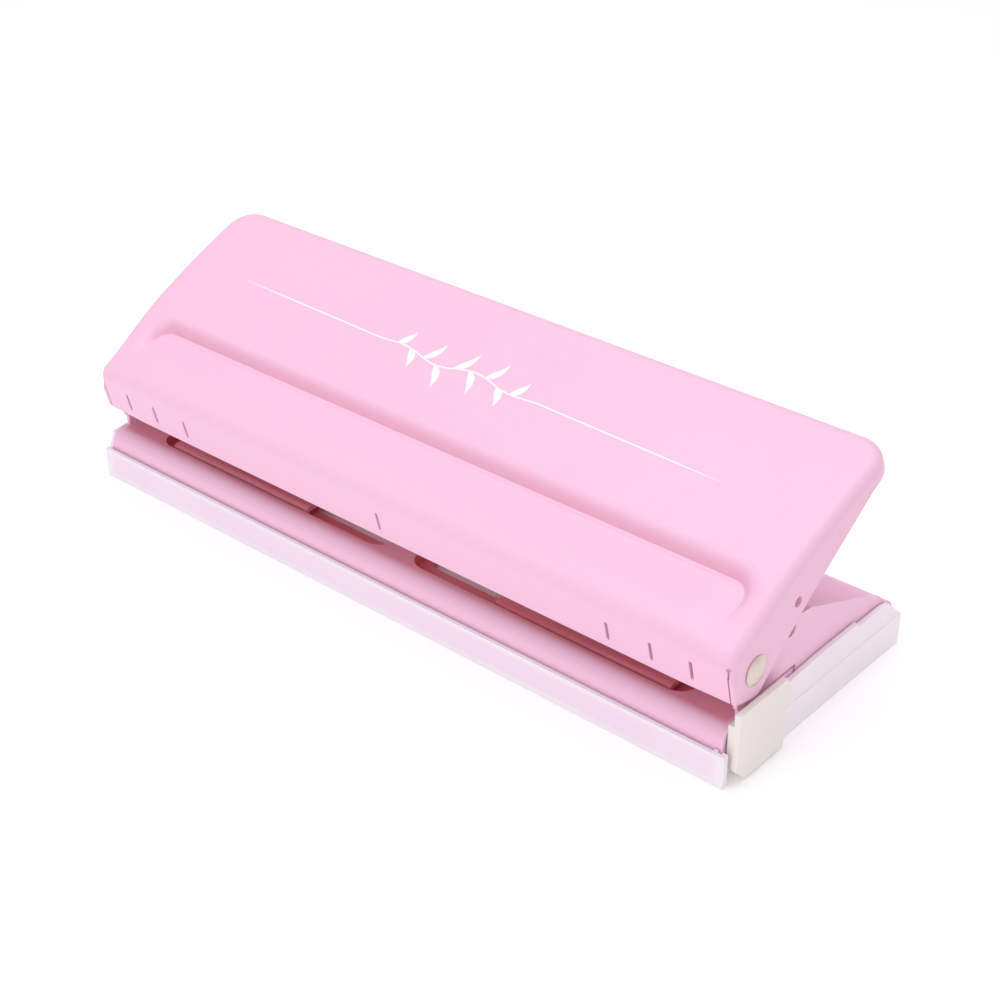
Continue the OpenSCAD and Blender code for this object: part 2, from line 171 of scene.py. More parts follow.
class Shader:
    """A node material built around one Principled shader."""

    def __init__(self, name, colour, roughness, **sockets):
        self.material = bpy.data.materials.new(name)
        self.material.use_nodes = True
        self.tree = self.material.node_tree
        self.principled = self.tree.nodes["Principled BSDF"]
        self.principled.inputs["Base Color"].default_value = (*colour, 1.0)
        self.principled.inputs["Roughness"].default_value = roughness
        for socket, value in sockets.items():
            self.principled.inputs[socket.replace("_", " ")].default_value = value
        self.place = self.tree.nodes.new("ShaderNodeTexCoord").outputs["Object"]
        self.normal = None

    def link(self, start, end):
        self.tree.links.new(start, end)

    def noise(self, per_metre, detail, stretch=EVEN):
        """Noise with that many cells to the metre, drawn out along the axes by stretch."""
        mapping = self.tree.nodes.new("ShaderNodeMapping")
        mapping.inputs["Scale"].default_value = stretch
        self.link(self.place, mapping.inputs["Vector"])
        texture = self.tree.nodes.new("ShaderNodeTexNoise")
        texture.inputs["Scale"].default_value = per_metre
        texture.inputs["Detail"].default_value = detail
        texture.inputs["Roughness"].default_value = 0.5
        self.link(mapping.outputs["Vector"], texture.inputs["Vector"])
        return texture.outputs["Fac"]

    def spread(self, value, low, high):
        """Noise stretched to run from low to high."""
        node = self.tree.nodes.new("ShaderNodeMapRange")
        node.inputs["From Min"].default_value = NOISE_LOW
        node.inputs["From Max"].default_value = NOISE_HIGH
        node.inputs["To Min"].default_value = low
        node.inputs["To Max"].default_value = high
        self.link(value, node.inputs["Value"])
        return node.outputs["Result"]

    def mix_over(self, other, share):
        """Mixes other over the colour so far, by share."""
        node = self.tree.nodes.new("ShaderNodeMix")
        node.data_type = "RGBA"
        colour = self.principled.inputs["Base Color"]
        if colour.is_linked:
            self.link(colour.links[0].from_socket, node.inputs[MIX_UNDER])
        else:
            node.inputs[MIX_UNDER].default_value = colour.default_value
        node.inputs[MIX_OVER].default_value = (*other, 1.0)
        self.link(share, node.inputs[MIX_FACTOR])
        self.link(node.outputs[MIX_RESULT], colour)

    def tint(self, noise, other, amount):
        """The colour drifts towards other, by up to amount, where the noise is high."""
        self.mix_over(other, self.spread(noise, 0.0, amount))

    def tint_where(self, share, other, amount):
        """The colour moves towards other by amount where share is one."""
        self.mix_over(other, self.math("MULTIPLY", share, amount))

    def vary_roughness(self, noise, low, high):
        """The roughness runs from low to high with the noise."""
        self.link(self.spread(noise, low, high), self.principled.inputs["Roughness"])

    def bump(self, noise, height_mm, strength):
        """Fine relief of that height, on top of any bump before it."""
        node = self.tree.nodes.new("ShaderNodeBump")
        node.inputs["Distance"].default_value = height_mm * MM
        node.inputs["Strength"].default_value = strength
        self.link(noise, node.inputs["Height"])
        if self.normal is not None:
            self.link(self.normal, node.inputs["Normal"])
        self.normal = node.outputs["Normal"]
        self.link(self.normal, self.principled.inputs["Normal"])

    def math(self, operation, a, b=0.0):
        """A Math node on numbers or sockets; operations on one value leave b unused."""
        node = self.tree.nodes.new("ShaderNodeMath")
        node.operation = operation
        for value, socket in ((a, node.inputs[0]), (b, node.inputs[1])):
            if isinstance(value, (int, float)):
                socket.default_value = value
            else:
                self.link(value, socket)
        return node.outputs[0]

    def ramp(self, value, start_mm, end_mm):
        """Nought where value is at start, rising smoothly to one at end."""
        node = self.tree.nodes.new("ShaderNodeMapRange")
        node.interpolation_type = "SMOOTHSTEP"
        node.inputs["From Min"].default_value = start_mm * MM
        node.inputs["From Max"].default_value = end_mm * MM
        self.link(value, node.inputs["Value"])
        return node.outputs["Result"]

    def coordinate(self, axis):
        """The place along an axis of the row frame, in metres."""
        split = self.tree.nodes.new("ShaderNodeSeparateXYZ")
        self.link(self.place, split.inputs["Vector"])
        return split.outputs[axis]

    def band(self, axis, low_mm, high_mm, soft_mm, mirrored=False):
        """One between two places along an axis of the row frame, fading to nought past its ends."""
        value = self.coordinate(axis)
        if mirrored:
            value = self.math("ABSOLUTE", value)
        return self.math("MULTIPLY", self.ramp(value, low_mm - soft_mm, low_mm),
                         self.ramp(value, high_mm + soft_mm, high_mm))


PINK = (0.91, 0.565, 0.73)
PINK_DARK = (0.85, 0.46, 0.62)
# Painted shade: the red of the base's coat in the shadow under the handle, and a deeper red in the shadowed
# pockets and die channels
UNDER_HANDLE_SHADE = (0.92, 0.35, 0.43)
# Painted shade at the foot of the handle's groove wall
GROOVE_FOOT_SHADE = (0.78, 0.35, 0.47)
POCKET_SHADE = (0.82, 0.18, 0.22)
PLASTIC_IOR = 1.49
# Half length of the deck between the ears
DECK_HALF = 113.0


def darker(colour, share):
    return tuple(share * channel for channel in colour)


def powder_coat(name, colour, dark, roughness=0.40):
    """Satin powder coat: fine orange peel over the sheet, a little uneven in tone and in gloss."""
    shader = Shader(name, colour, roughness, Specular_IOR_Level=0.42)
    shader.tint(shader.noise(18.0, detail=3.0), dark, amount=0.10)
    shader.tint(shader.noise(900.0, detail=2.0), dark, amount=0.05)
    shader.vary_roughness(shader.noise(140.0, detail=3.0), roughness - 0.05, roughness + 0.06)
    shader.bump(shader.noise(850.0, detail=1.5), height_mm=0.018, strength=0.5)
    shader.bump(shader.noise(2600.0, detail=1.0), height_mm=0.006, strength=0.4)
    return shader


def base_coat_with_painted_shade():
    """The base's coat, with painted shade: redder under the handle, and deep red in the deck's sunken
    pockets.
    """
    shader = powder_coat("pink_powder_coat_base", PINK, PINK_DARK)
    along = shader.band("X", 0.0, DECK_HALF, soft_mm=1.5, mirrored=True)
    under = shader.math("MULTIPLY", along, shader.band("Y", -35.5, 6.0, soft_mm=2.2))
    # Painted shade under the handle
    shader.tint_where(under, UNDER_HANDLE_SHADE, amount=0.85)
    below_deck = shader.band("Z", -5.0, 15.0, soft_mm=0.4)
    deep = shader.math("MULTIPLY", below_deck, shader.band("Y", -34.9, -2.0, soft_mm=0.2))
    # Painted shade in the deck's sunken pockets
    shader.tint_where(shader.math("MULTIPLY", along, deep), POCKET_SHADE, amount=0.85)
    return shader.material


def streaked_coat():
    """Coat on the die channels, rubbed in lines along the punch, in a deep red that is painted shade."""
    # Its base colour is the pockets' painted shade; the rubbed lines are the channel's own marks
    shader = powder_coat("pink_die_coat_painted_shade", POCKET_SHADE, darker(POCKET_SHADE, 0.85), roughness=0.36)
    rubbed = (0.90, 0.42, 0.50)
    shader.tint(shader.noise(700.0, detail=3.0, stretch=FAR_ALONG_X), rubbed, amount=0.7)
    shader.bump(shader.noise(1300.0, detail=2.0, stretch=FAR_ALONG_X), height_mm=0.012, strength=0.5)
    return shader.material


def frosted_plastic():
    """Translucent polypropylene with a fine matt grain, a faint painted glow for light coming through it,
    and the pink base behind painted faintly onto the front.
    """
    milk, painted_pink_behind = (0.95, 0.885, 0.93), (0.90, 0.68, 0.84)
    # The emission is a painted glow of light coming through the plastic
    shader = Shader("tray_frosted", (0.86, 0.79, 0.85), 0.42, Specular_IOR_Level=0.45, IOR=PLASTIC_IOR,
                    Transmission_Weight=0.06, Subsurface_Weight=0.20, Subsurface_Scale=0.004,
                    Subsurface_Radius=(1.0, 0.85, 0.95),
                    Emission_Color=(0.95, 0.90, 0.95, 1.0), Emission_Strength=0.06)
    shader.tint(shader.noise(25.0, detail=3.0), milk, amount=0.5)
    window = shader.math("MULTIPLY", shader.band("Z", 2.6, 7.4, soft_mm=1.6),
                         shader.band("X", 0.0, DECK_HALF, soft_mm=3.0, mirrored=True))
    front = shader.math("MULTIPLY", window, shader.band("Y", -43.0, -41.0, soft_mm=0.3))
    patches = shader.spread(shader.noise(30.0, detail=2.0), 0.6, 1.0)
    # Painted see-through: the pink base behind, tinted onto the front wall
    shader.tint_where(shader.math("MULTIPLY", front, patches), painted_pink_behind, amount=0.85)
    shader.vary_roughness(shader.noise(420.0, detail=3.0), 0.36, 0.50)
    shader.bump(shader.noise(1500.0, detail=2.0), height_mm=0.012, strength=0.5)
    return shader.material


def milky_plastic():
    """Milky moulded plastic of the pull-out guide."""
    cloudy = (0.87, 0.79, 0.74)
    shader = Shader("guide_milky", (0.97, 0.92, 0.87), 0.38, Specular_IOR_Level=0.45, IOR=PLASTIC_IOR,
                    Transmission_Weight=0.10, Subsurface_Weight=0.30, Subsurface_Scale=0.003,
                    Subsurface_Radius=(1.0, 0.9, 0.8))
    shader.tint(shader.noise(30.0, detail=3.0), cloudy, amount=0.35)
    shader.vary_roughness(shader.noise(300.0, detail=2.0), 0.32, 0.46)
    shader.bump(shader.noise(1200.0, detail=2.0), height_mm=0.010, strength=0.4)
    return shader.material


def brushed_metal(name, colour, roughness, stretch, scratch_mm):
    """Bare or plated steel with fine lines along one axis and cloudy patches."""
    shader = Shader(name, colour, roughness, Metallic=1.0)
    shader.tint(shader.noise(60.0, detail=4.0), darker(colour, 0.82), amount=0.5)
    shader.tint(shader.noise(700.0, detail=3.0, stretch=stretch), darker(colour, 0.80), amount=0.35)
    lines = shader.noise(500.0, detail=3.0, stretch=stretch)
    shader.vary_roughness(lines, roughness - 0.07, roughness + 0.09)
    shader.bump(shader.noise(1400.0, detail=2.0, stretch=stretch), scratch_mm, strength=0.5)
    return shader.material


def white_ink():
    """White printing ink, thin enough for the pink to show a little."""
    shader = Shader("white_ink", (0.98, 0.93, 0.97), 0.5, Specular_IOR_Level=0.3)
    shader.tint(shader.noise(1500.0, detail=2.0), (0.98, 0.84, 0.92), amount=0.35)
    shader.bump(shader.noise(3000.0, detail=1.0), height_mm=0.004, strength=0.3)
    return shader.material


NICKEL_TONE, ZINC_TONE = (0.755, 0.66, 0.595), (0.66, 0.67, 0.68)
GROUND_TONE, WIRE_TONE = (0.56, 0.57, 0.59), (0.62, 0.62, 0.64)
COAT = powder_coat("pink_powder_coat", PINK, PINK_DARK).material
BASE_COAT = base_coat_with_painted_shade()
DIE_COAT = streaked_coat()
SPRING = brushed_metal("spring_wire", WIRE_TONE, 0.28, EVEN, scratch_mm=0.005)
INK = white_ink()
SLOT_MATERIALS = {
    "pink_coat": COAT,
    "tray_plastic": frosted_plastic(),
    "guide_plastic": milky_plastic(),
    "nickel": brushed_metal("dull_nickel", NICKEL_TONE, 0.34, EVEN, scratch_mm=0.006),
    "zinc_steel": brushed_metal("zinc_sheet", ZINC_TONE, 0.36, ALONG_X, scratch_mm=0.010),
    "hard_steel": brushed_metal("ground_steel", GROUND_TONE, 0.24, ALONG_Z, scratch_mm=0.006),
    "spring_steel": SPRING,
}
NODE_MATERIALS = {"base_plate": BASE_COAT, "left_die_plate": DIE_COAT, "right_die_plate": DIE_COAT}
EDGE_WIDTH = {"pink_coat": 0.25, "tray_plastic": 0.35, "guide_plastic": 0.5, "nickel": 0.12,
              "zinc_steel": 0.12, "hard_steel": 0.08, "spring_steel": 0.06}
# Folds flatter than this, in degrees, aren't bevelled
BEVEL_ANGLE = 35


def finish_cad_nodes():
    """Every CAD node gets its material and softly broken edges."""
    for part in frame["record"]["subparts"]:
        node = NODES[part["node"]]
        slot_name = part["material_slot"]
        meshes = [o for o in [node, *node.children_recursive] if o.type == "MESH"]
        for piece in meshes:
            if not piece.material_slots:
                continue
            for slot in piece.material_slots:
                slot.link = "OBJECT"
                slot.material = NODE_MATERIALS.get(part["node"], SLOT_MATERIALS[slot_name])
            add_bevel(piece, EDGE_WIDTH[slot_name])


def add_bevel(piece, width_mm):
    """A modifier that rounds the piece's sharp edges."""
    bevel = piece.modifiers.new("broken_edges", "BEVEL")
    bevel.width = width_mm * MM
    bevel.segments = 2
    bevel.limit_method = "ANGLE"
    bevel.angle_limit = math.radians(BEVEL_ANGLE)
    bevel.use_clamp_overlap = True
    bevel.harden_normals = True


# ---------------------------------------------------------------- mesh helpers

MERGE_DISTANCE = 1e-7


def add_piece(name, verts, faces, material, body):
    """A closed mesh piece in the row frame, riding on a body. verts are in metres."""
    mesh = bpy.data.meshes.new(name)
    mesh.from_pydata(verts, [], faces)
    mesh.materials.append(material)
    mesh.validate()
    piece = bpy.data.objects.new(name, mesh)
    bpy.context.collection.objects.link(piece)
    tidy_normals(mesh)
    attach(piece, body)
    return piece


def tidy_normals(mesh):
    """Merges doubled points and turns every face outwards."""
    work = bmesh.new()
    work.from_mesh(mesh)
    bmesh.ops.remove_doubles(work, verts=work.verts, dist=MERGE_DISTANCE)
    bmesh.ops.recalc_face_normals(work, faces=work.faces)
    work.to_mesh(mesh)
    work.free()


def smooth_by_angle(piece, degrees):
    """Smooth shading, with edges sharper than this kept sharp."""
    for polygon in piece.data.polygons:
        polygon.use_smooth = True
    piece.data.set_sharp_from_angle(angle=math.radians(degrees))


def cut(piece, cutters):
    """Takes the cutters out of piece and removes them."""
    for cutter in cutters:
        boolean = piece.modifiers.new("cut", "BOOLEAN")
        boolean.operation = "DIFFERENCE"
        boolean.solver = "EXACT"
        boolean.object = cutter
    graph = bpy.context.evaluated_depsgraph_get()
    mesh = bpy.data.meshes.new_from_object(piece.evaluated_get(graph))
    if not mesh.polygons:
        raise RuntimeError(f"{piece.name}: nothing is left after the cuts")
    piece.modifiers.clear()
    piece.data = mesh
    for cutter in cutters:
        bpy.data.objects.remove(cutter, do_unlink=True)


def prism(outline, place, depth):
    """A loose cutting solid.

    outline is (u, v) pairs, depth the two values of w, and place turns (u, v, w) into a point.
    """
    count = len(outline)
    verts = [place(u, v, w) for w in depth for u, v in outline]
    faces = [tuple(range(count)), tuple(range(2 * count - 1, count - 1, -1))]
    faces += [(i, (i + 1) % count, (i + 1) % count + count, i + count) for i in range(count)]
    mesh = bpy.data.meshes.new("cutter")
    mesh.from_pydata(verts, [], faces)
    tidy_normals(mesh)
    cutter = bpy.data.objects.new("cutter", mesh)
    bpy.context.collection.objects.link(cutter)
    return cutter


def circle(centre, radius, count=40):
    """A round outline."""
    step = 2 * math.pi / count
    return [(centre[0] + radius * math.cos(i * step), centre[1] + radius * math.sin(i * step))
            for i in range(count)]


def stadium(u, half_width, v0, v1, count=6):
    """A slot outline along v with round ends."""
    points = []
    for v, start in ((v1 - half_width, 0.0), (v0 + half_width, math.pi)):
        for i in range(count + 1):
            angle = start + math.pi * i / count
            points.append((u + half_width * math.cos(angle), v + half_width * math.sin(angle)))
    return points


def keyhole(centre, radius, half_width, end, count=16):
    """A slot that runs from a round hole to end, as one outline."""
    mouth = math.asin(half_width / radius)
    sweep = 2 * math.pi - 2 * mouth
    points = [(centre[0] - half_width, end), (centre[0] + half_width, end)]
    for i in range(count + 1):
        angle = math.pi / 2 - mouth - sweep * i / count
        points.append((centre[0] + radius * math.cos(angle), centre[1] + radius * math.sin(angle)))
    return points


def clamp(value):
    return min(1.0, max(0.0, value))


def smoothstep(low, high, value):
    """Nought at low, rising smoothly to one at high."""
    t = clamp((value - low) / (high - low))
    return t * t * (3 - 2 * t)


def interpolate(table, value):
    """Straight-line reading of a list of (key, result) pairs."""
    if value <= table[0][0]:
        return table[0][1]
    for (a, fa), (b, fb) in zip(table, table[1:]):
        if value <= b:
            return fa + (fb - fa) * (value - a) / (b - a)
    return table[-1][1]


# ---------------------------------------------------------------- handle

SHELL_LOW, SHELL_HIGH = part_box("handle_shell")
SLOPE = math.radians(23.9)
# Depth of the plate along its slope, in the CAD and here
CAD_DEPTH = 73.8
DEPTH = 74.4
# Half length of the handle, and the place of its front fold
HALF = SHELL_HIGH[0] / MM
FOLD_Y = SHELL_LOW[1] / MM
FOLD_Z = SHELL_HIGH[2] / MM - CAD_DEPTH * math.sin(SLOPE)
SHEET = 1.2
# Outer radii of the folds at the front, and at the sides and rear
FRONT_RADIUS = 4.2
SIDE_RADIUS = 3.2
# Plan radii of the flange's front corners, below the fold, and of the plate's rear corners
FLANGE_CORNER = 1.4
REAR_CORNER = 9.0
# The front flange's bottom edge, by distance up the slope and depth below the plate
FLANGE_FOOT = (-2.7, 15.6)
FRONT_LEAN = math.atan(-FLANGE_FOOT[0] / FLANGE_FOOT[1])
# Distance up the slope over which the rim's depth is read round a front corner
CORNER_SPAN = 3.5
# Share of the flange's height over which its front corners sharpen
CORNER_SHARPENING = 0.4
# Depth of the turned-down rim below the plate, by distance up the slope
RIM_DEPTH = [FLANGE_FOOT, (-1.6, 16.4), (-0.6, 17.6), (1.5, 19.0), (5.2, 20.7), (6.3, 20.9), (7.6, 20.5),
             (14.2, 18.0), (29.3, 13.2), (40.2, 10.5), (63.7, 5.2), (DEPTH, 5.2)]
# Height of the plate's crown, and how far its top sits to the rear
CROWN = 1.7
CROWN_SKEW = 1.15
# How far each end stands out at the rear, and how late the flare grows
FLARE = {-1: 3.7, 1: 0.6}
FLARE_CURVE = 1.1
# Pressed groove: middle and half length of its floor, where the floor starts and ends up the slope, its
# depth and corner, how far its wall reaches and how steeply the wall starts, and the bead along its foot
GROOVE = {"centre": 0.5, "half": 108.5, "start": 5.0, "rear": 22.1, "depth": 3.0, "corner": 5.0,
          "wall": 4.4, "wall_curve": 1.9, "bead": 0.10, "bead_half": 0.7}
# Rolled-down front corners: how deep, between which distances from the middle, and how far up the slope
CORNER_ROLL = {"depth": 2.0, "from": 98.0, "to": 115.0, "reach": 32.0}
# Rows of the plate, close together at the groove's wall: start, end and count
GROOVE_ROWS = [(14.0, 20.0, 8), (20.0, 23.6, 12), (23.6, 27.2, 6)]
REAR_ROWS_START = 27.6
# Columns of the plate: the last of the wide ones, and the close ones at the groove's ends
WIDE_COLUMNS_END = 97.5
END_COLUMNS = [WIDE_COLUMNS_END + 0.6 * i for i in range(22)] + [111.4, 112.6]
# Seven slits in the front flange, by place along the punch, and their ends below the plate
PAPER_MARKS = (0.0, 79.2, -79.2, 92.8, -92.8, 105.0, -105.0)
MARK_HALF_WIDTH, MARK_TOP, MARK_BOTTOM = 0.5, 6.6, 12.8
# Seam in each front corner, which starts at a small relief hole
SEAM_INSET, SEAM_HALF_WIDTH, SEAM_END = 1.45, 0.22, 24.0
RELIEF_HOLE, RELIEF_RADIUS = 4.6, 0.6
LOCATING_HOLE, LOCATING_RADIUS = (27.2, -9.1), 1.5
PIVOT_RADIUS = 2.56
HANDLE_SHARP_ANGLE = 32
HANDLE_EDGE = 0.16


def handle_point(x, s, n):
    """A point of the handle's frame, in millimetres, as a place in the row frame, in metres."""
    y = FOLD_Y + s * math.cos(SLOPE) - n * math.sin(SLOPE)
    z = FOLD_Z + s * math.sin(SLOPE) + n * math.cos(SLOPE)
    return Vector((x, y, z)) * MM


def crown(s):
    """Rise of the pressed plate between its front and rear folds."""
    return CROWN * math.sin(math.pi * clamp(s / DEPTH) ** CROWN_SKEW)


def groove(x, s):
    """Depth of the pressed groove: a floor that ramps down to the rear, and a wall with a soft shoulder."""
    corner = GROOVE["corner"]
    dx = abs(x - GROOVE["centre"]) - (GROOVE["half"] - corner)
    ds = s - (GROOVE["rear"] - corner)
    outside = (math.hypot(dx, ds) if dx > 0 and ds > 0 else max(dx, ds)) - corner
    ramp = smoothstep(GROOVE["start"], GROOVE["rear"], s)
    wall = max(0.0, 1 - max(0.0, outside) / GROOVE["wall"]) ** GROOVE["wall_curve"]
    bead_half = GROOVE["bead_half"]
    bead = GROOVE["bead"] * max(0.0, 1 - abs(outside + bead_half) / bead_half)
    return GROOVE["depth"] * ramp * (wall - bead)


def corner_drop(x, s):
    """The plate's front corners are rolled down a little further than its middle."""
    outwards = smoothstep(CORNER_ROLL["from"], CORNER_ROLL["to"], abs(x))
    return CORNER_ROLL["depth"] * outwards * (1 - smoothstep(0.0, CORNER_ROLL["reach"], s))


def plate_level(x, s):
    """Height of the plate's outer face over its flat CAD shape."""
    return crown(s) - groove(x, s) - corner_drop(x, s)


def half_width(side, s):
    """Half width of the plate's outline at s on the left (-1) or right (1), rear corner left out."""
    return HALF + FLARE[side] * clamp(s / DEPTH) ** FLARE_CURVE


def spaced(start, end, count):
    """Count values from start towards end, without end."""
    return [start + (end - start) * i / count for i in range(count)]


def grid_rows():
    """Distances up the slope of the plate's rows, between the folds."""
    first = FRONT_RADIUS * math.tan((math.pi / 2 - FRONT_LEAN) / 2)
    rows = spaced(first, GROOVE_ROWS[0][0], 12)
    for span in GROOVE_ROWS:
        rows += spaced(*span)
    inner = REAR_CORNER - SIDE_RADIUS
    start = DEPTH - REAR_CORNER
    rows += spaced(REAR_ROWS_START, start, 14)
    rows += [start + inner * math.sin(math.pi / 2 * i / 12) for i in range(13)]
    return rows


def grid_columns():
    """Places across the plate as shares of the half width, close together at the groove's ends."""
    edge = HALF - SIDE_RADIUS
    middle = [WIDE_COLUMNS_END * math.sin(math.pi / 2 * i / 18) for i in range(18)]
    right = [x / edge for x in middle + END_COLUMNS + [edge]]
    return [-x for x in reversed(right[1:])] + right


def row_half(side, s):
    """Half width of a plate row, inside the fold and the rear corner's arc."""
    inner = REAR_CORNER - SIDE_RADIUS
    past = s - (DEPTH - REAR_CORNER)
    half = half_width(side, s) - SIDE_RADIUS
    if past <= 0:
        return half
    return half - inner + math.sqrt(max(0.0, inner * inner - past * past))


def rim_columns(rows, columns):
    """The rim's columns in order round the plate: (row, column, outward direction in the plate)."""
    last_row, last_column = len(rows) - 1, len(columns) - 1
    fan = 8
    around = [(0, j, -math.pi / 2) for j in range(last_column + 1)]
    around += [(0, last_column, -math.pi / 2 + math.pi / 2 * k / fan) for k in range(1, fan + 1)]
    around += [(i, last_column, side_angle(rows[i])) for i in range(1, last_row + 1)]
    around += [(last_row, j, math.pi / 2) for j in range(last_column - 1, 0, -1)]
    around += [(i, 0, math.pi - side_angle(rows[i])) for i in range(last_row, 0, -1)]
    around += [(0, 0, math.pi + math.pi / 2 * k / fan) for k in range(fan)]
    return around


def side_angle(s):
    """Direction that the rim faces on the right, as an angle in the plate."""
    past = (s - (DEPTH - REAR_CORNER)) / (REAR_CORNER - SIDE_RADIUS)
    return math.asin(min(1.0, past)) if past > 0 else 0.0


def rim_profile(x, s, angle, inset, arc=8, straight=8):
    """Points down the rim from the plate's edge: the fold's arc and the flange below it."""
    front = max(0.0, -math.sin(angle))
    aside = math.cos(angle)
    turn = math.pi / 2 - FRONT_LEAN * front
    radius = SIDE_RADIUS + (FRONT_RADIUS - SIDE_RADIUS) * front ** 2
    level = plate_level(x, s)
    points = []
    for k in range(1, arc + 1):
        bend = turn * k / arc
        reach = (radius - inset) * math.sin(bend)
        drop = radius - (radius - inset) * math.cos(bend)
        points.append((x + aside * reach, s + math.sin(angle) * reach, level - drop))
    x_low, s_low, n_low = points[-1]
    in_corner = 0 < front < 0.999
    bottom = -interpolate(RIM_DEPTH, FLANGE_FOOT[0] + CORNER_SPAN * (1 - front) if front > 0 else s_low)
    for k in range(1, straight + 1):
        share = k / straight
        n = n_low + (bottom - n_low) * share
        lean = math.tan(FRONT_LEAN) * front * (n_low - n)
        square_up = smoothstep(0.0, CORNER_SHARPENING, share) if in_corner else 0.0
        spare = square_up * (radius - FLANGE_CORNER)
        side = math.copysign(1.0, x)
        points.append((x_low + spare * (1 - abs(aside)) * side, s_low - lean - spare * (1 - front), n))
    return points


def pressed_coat():
    """The handle's powder coat, with painted shade along the foot of the groove's wall."""
    shader = powder_coat("pink_powder_coat_pressed", PINK, PINK_DARK)
    corner = GROOVE["corner"] * MM
    foot = handle_point(0.0, GROOVE["rear"], plate_level(0.0, GROOVE["rear"])).y
    across = shader.math("ABSOLUTE", shader.math("SUBTRACT", shader.coordinate("X"), GROOVE["centre"] * MM))
    dx = shader.math("MAXIMUM", shader.math("SUBTRACT", across, GROOVE["half"] * MM - corner), 0.0)
    dy = shader.math("MAXIMUM", shader.math("SUBTRACT", shader.coordinate("Y"), foot - corner), 0.0)
    squares = shader.math("ADD", shader.math("MULTIPLY", dx, dx), shader.math("MULTIPLY", dy, dy))
    outside = shader.math("SUBTRACT", shader.math("SQRT", squares), corner)
    on_wall = shader.math("MULTIPLY", shader.ramp(outside, -0.3, 0.0), shader.ramp(outside, 2.1, 0.2))
    # The groove's ends run out towards the front, and the painted shade with them
    rearward = shader.ramp(shader.coordinate("Y"), foot / MM - 9.0, foot / MM - 2.0)
    # Painted shade along the groove's foot
    shader.tint_where(shader.math("MULTIPLY", on_wall, rearward), GROOVE_FOOT_SHADE, amount=0.5)
    return shader.material


def build_handle():
    """The pressed handle: crowned plate with its groove, rolled folds, turned-down rim, slits and holes."""
    rows, columns = grid_rows(), grid_columns()
    wide = len(columns)
    around = rim_columns(rows, columns)
    verts, faces, rims = [], [], []
    for inset in (0.0, SHEET):
        start = len(verts)
        for s in rows:
            for share in columns:
                x = share * row_half(1 if share > 0 else -1, s)
                verts.append(handle_point(x, s, plate_level(x, s) - inset))
        for i in range(len(rows) - 1):
            for j in range(wide - 1):
                a = start + i * wide + j
                faces.append((a, a + 1, a + wide + 1, a + wide))
        rings = []
        for i, j, angle in around:
            side = 1 if columns[j] > 0 else -1
            x = columns[j] * row_half(side, rows[i])
            ring = [start + i * wide + j]
            for point in rim_profile(x, rows[i], angle, inset):
                verts.append(handle_point(*point))
                ring.append(len(verts) - 1)
            rings.append(ring)
        for a, b in zip(rings, rings[1:] + rings[:1]):
            for k in range(len(a) - 1):
                quad = (a[k], a[k + 1], b[k + 1], b[k])
                faces.append(tuple(dict.fromkeys(quad)))
        rims.append([ring[-1] for ring in rings])
    outer, inner = rims
    count = len(outer)
    faces += [(outer[k], outer[(k + 1) % count], inner[(k + 1) % count], inner[k]) for k in range(count)]
    shell = add_piece("pressed_handle", verts, faces, pressed_coat(), "handle")
    cut(shell, handle_cutters())
    smooth_by_angle(shell, HANDLE_SHARP_ANGLE)
    add_bevel(shell, HANDLE_EDGE)
    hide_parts("handle_shell")


def handle_cutters():
    """Paper marks and corner seams in the front flange, locating and pivot holes in the end flanges."""
    def front(u, v, w):
        return handle_point(u, w - v * math.tan(FRONT_LEAN), -v)

    def end(u, v, w):
        return handle_point(w, u, v)

    def level(u, v, w):
        return Vector((w, u, v)) * MM

    cutters = [prism(stadium(x, MARK_HALF_WIDTH, MARK_TOP, MARK_BOTTOM), front, (-4.0, 3.0))
               for x in PAPER_MARKS]
    for side in (-1, 1):
        hole = (side * (HALF - SEAM_INSET), RELIEF_HOLE)
        cutters.append(prism(keyhole(hole, RELIEF_RADIUS, SEAM_HALF_WIDTH, SEAM_END), front, (-4.0, 1.6)))
        flange = (side * (HALF - 4), side * (HALF + 4))
        cutters.append(prism(circle(LOCATING_HOLE, LOCATING_RADIUS), end, flange))
        cutters.append(prism(circle(frame_pivot(), PIVOT_RADIUS), level, flange))
    return cutters


def frame_pivot():
    """(y, z) of the pivot rivets, in millimetres."""
    low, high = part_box("right_pivot_rivet")
    return ((low[1] + high[1]) / 2 / MM, (low[2] + high[2]) / 2 / MM)


# ---------------------------------------------------------------- printed flourish

# The stem's ends as (x, s), in how many steps it is drawn, and its half width
STEM_LEFT, STEM_RIGHT, STEM_STEPS = (-93.5, 47.4), (85.5, 44.0), 240
STEM_HALF_WIDTH = 0.24
# Its tips: the share of the width that they start with, and the steps over which they widen
STEM_TIP, STEM_TAPER_STEPS = 0.2, 30
# Its wave: middle, half length, height and wavelength
WAVE_MIDDLE, WAVE_HALF, WAVE_HEIGHT, WAVE_LENGTH = -6.0, 36.0, 1.5, 30.0
# Leaves: how many, where the first stands and how far apart as shares of the stem, the middle one's length
LEAVES, FIRST_LEAF, LEAF_PITCH, LEAF_LENGTH, LEAF_STEPS = 9, 0.36, 0.031, 9.0, 14
# How much shorter each next leaf is away from the middle, its angle to the stem and how far it bows
LEAF_SHRINK, LEAF_ANGLE, LEAF_BOW = 0.6, 0.55, 0.5
# Half width of a leaf at its ends, and what its middle adds to that
LEAF_TIP, LEAF_SWELL = 0.12, 1.05
# How far the ink stands over the plate and reaches into it
INK_RISE, INK_SINK = 0.035, 0.05
INK_SHARP_ANGLE = 40


